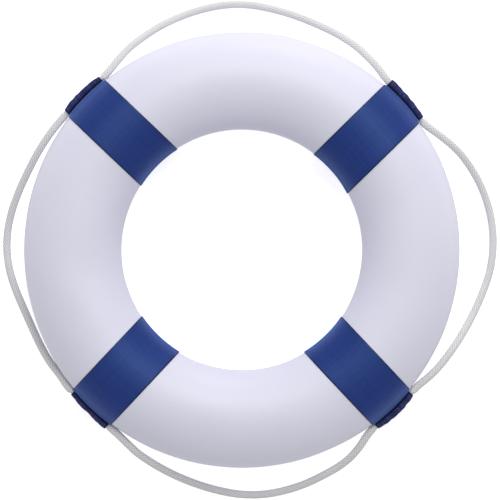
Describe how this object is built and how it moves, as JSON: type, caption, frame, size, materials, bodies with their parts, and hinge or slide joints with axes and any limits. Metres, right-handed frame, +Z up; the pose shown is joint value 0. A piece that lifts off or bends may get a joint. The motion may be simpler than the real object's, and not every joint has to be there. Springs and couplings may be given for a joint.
{
  "type": "ring lifebuoy",
  "caption": "Foam ring lifebuoy in a smooth coated skin, with cloth bands wrapped round it that hold a grab line round its outer rim.",
  "frame": {"origin": "on the surface the ring lies on, under the ring's centre", "axes": "+Z up along the ring's axis, through the hole; +X and +Y in the ring's plane, with the bands near the four diagonals"},
  "size_m": [0.5933, 0.5986, 0.0946],
  "materials": {
    "foam": "matte",
    "cover": "satin",
    "band": "satin",
    "sleeve": "matte",
    "thread": "matte",
    "line": "matte"
  },
  "bodies": {
    "ring": {"foam_core": "foam", "cover_top": "cover", "cover_bottom": "cover", "band_north_east": "band", "line_sleeve_north_east": "sleeve", "seam_thread_top_north_east": "thread", "seam_thread_bottom_north_east": "thread", "line_held_north_east": "line", "band_north_west": "band", "line_sleeve_north_west": "sleeve", "seam_thread_top_north_west": "thread", "seam_thread_bottom_north_west": "thread", "line_held_north_west": "line", "band_south_west": "band", "line_sleeve_south_west": "sleeve", "seam_thread_top_south_west": "thread", "seam_thread_bottom_south_west": "thread", "line_held_south_west": "line", "band_south_east": "band", "line_sleeve_south_east": "sleeve", "seam_thread_top_south_east": "thread", "seam_thread_bottom_south_east": "thread", "line_held_south_east": "line"},
    "line_east": {"line_span_east": "line"},
    "line_north": {"line_span_north": "line"},
    "line_west": {"line_span_west": "line"},
    "line_south": {"line_span_south": "line"}
  },
  "joints": [
    {"name": "line_swing_east", "type": "hinge", "parent": "ring", "child": "line_east", "pos_m": [0.25027, -0.00495, 0.03332], "axis": [-0.0565, -0.9976, 0.04], "range_deg": [0, 120]},
    {"name": "line_swing_north", "type": "hinge", "parent": "ring", "child": "line_north", "pos_m": [0.00352, 0.24433, 0.035], "axis": [0.9998, -0.0162, 0.0145], "range_deg": [0, 120]},
    {"name": "line_swing_west", "type": "hinge", "parent": "ring", "child": "line_west", "pos_m": [-0.24009, -0.00394, 0.03603], "axis": [-0.0322, 0.9994, 0.0162], "range_deg": [0, 105]},
    {"name": "line_swing_south", "type": "hinge", "parent": "ring", "child": "line_south", "pos_m": [0.00276, -0.2505, 0.03239], "axis": [-0.9994, 0.0179, 0.0293], "range_deg": [0, 118]}
  ]
}
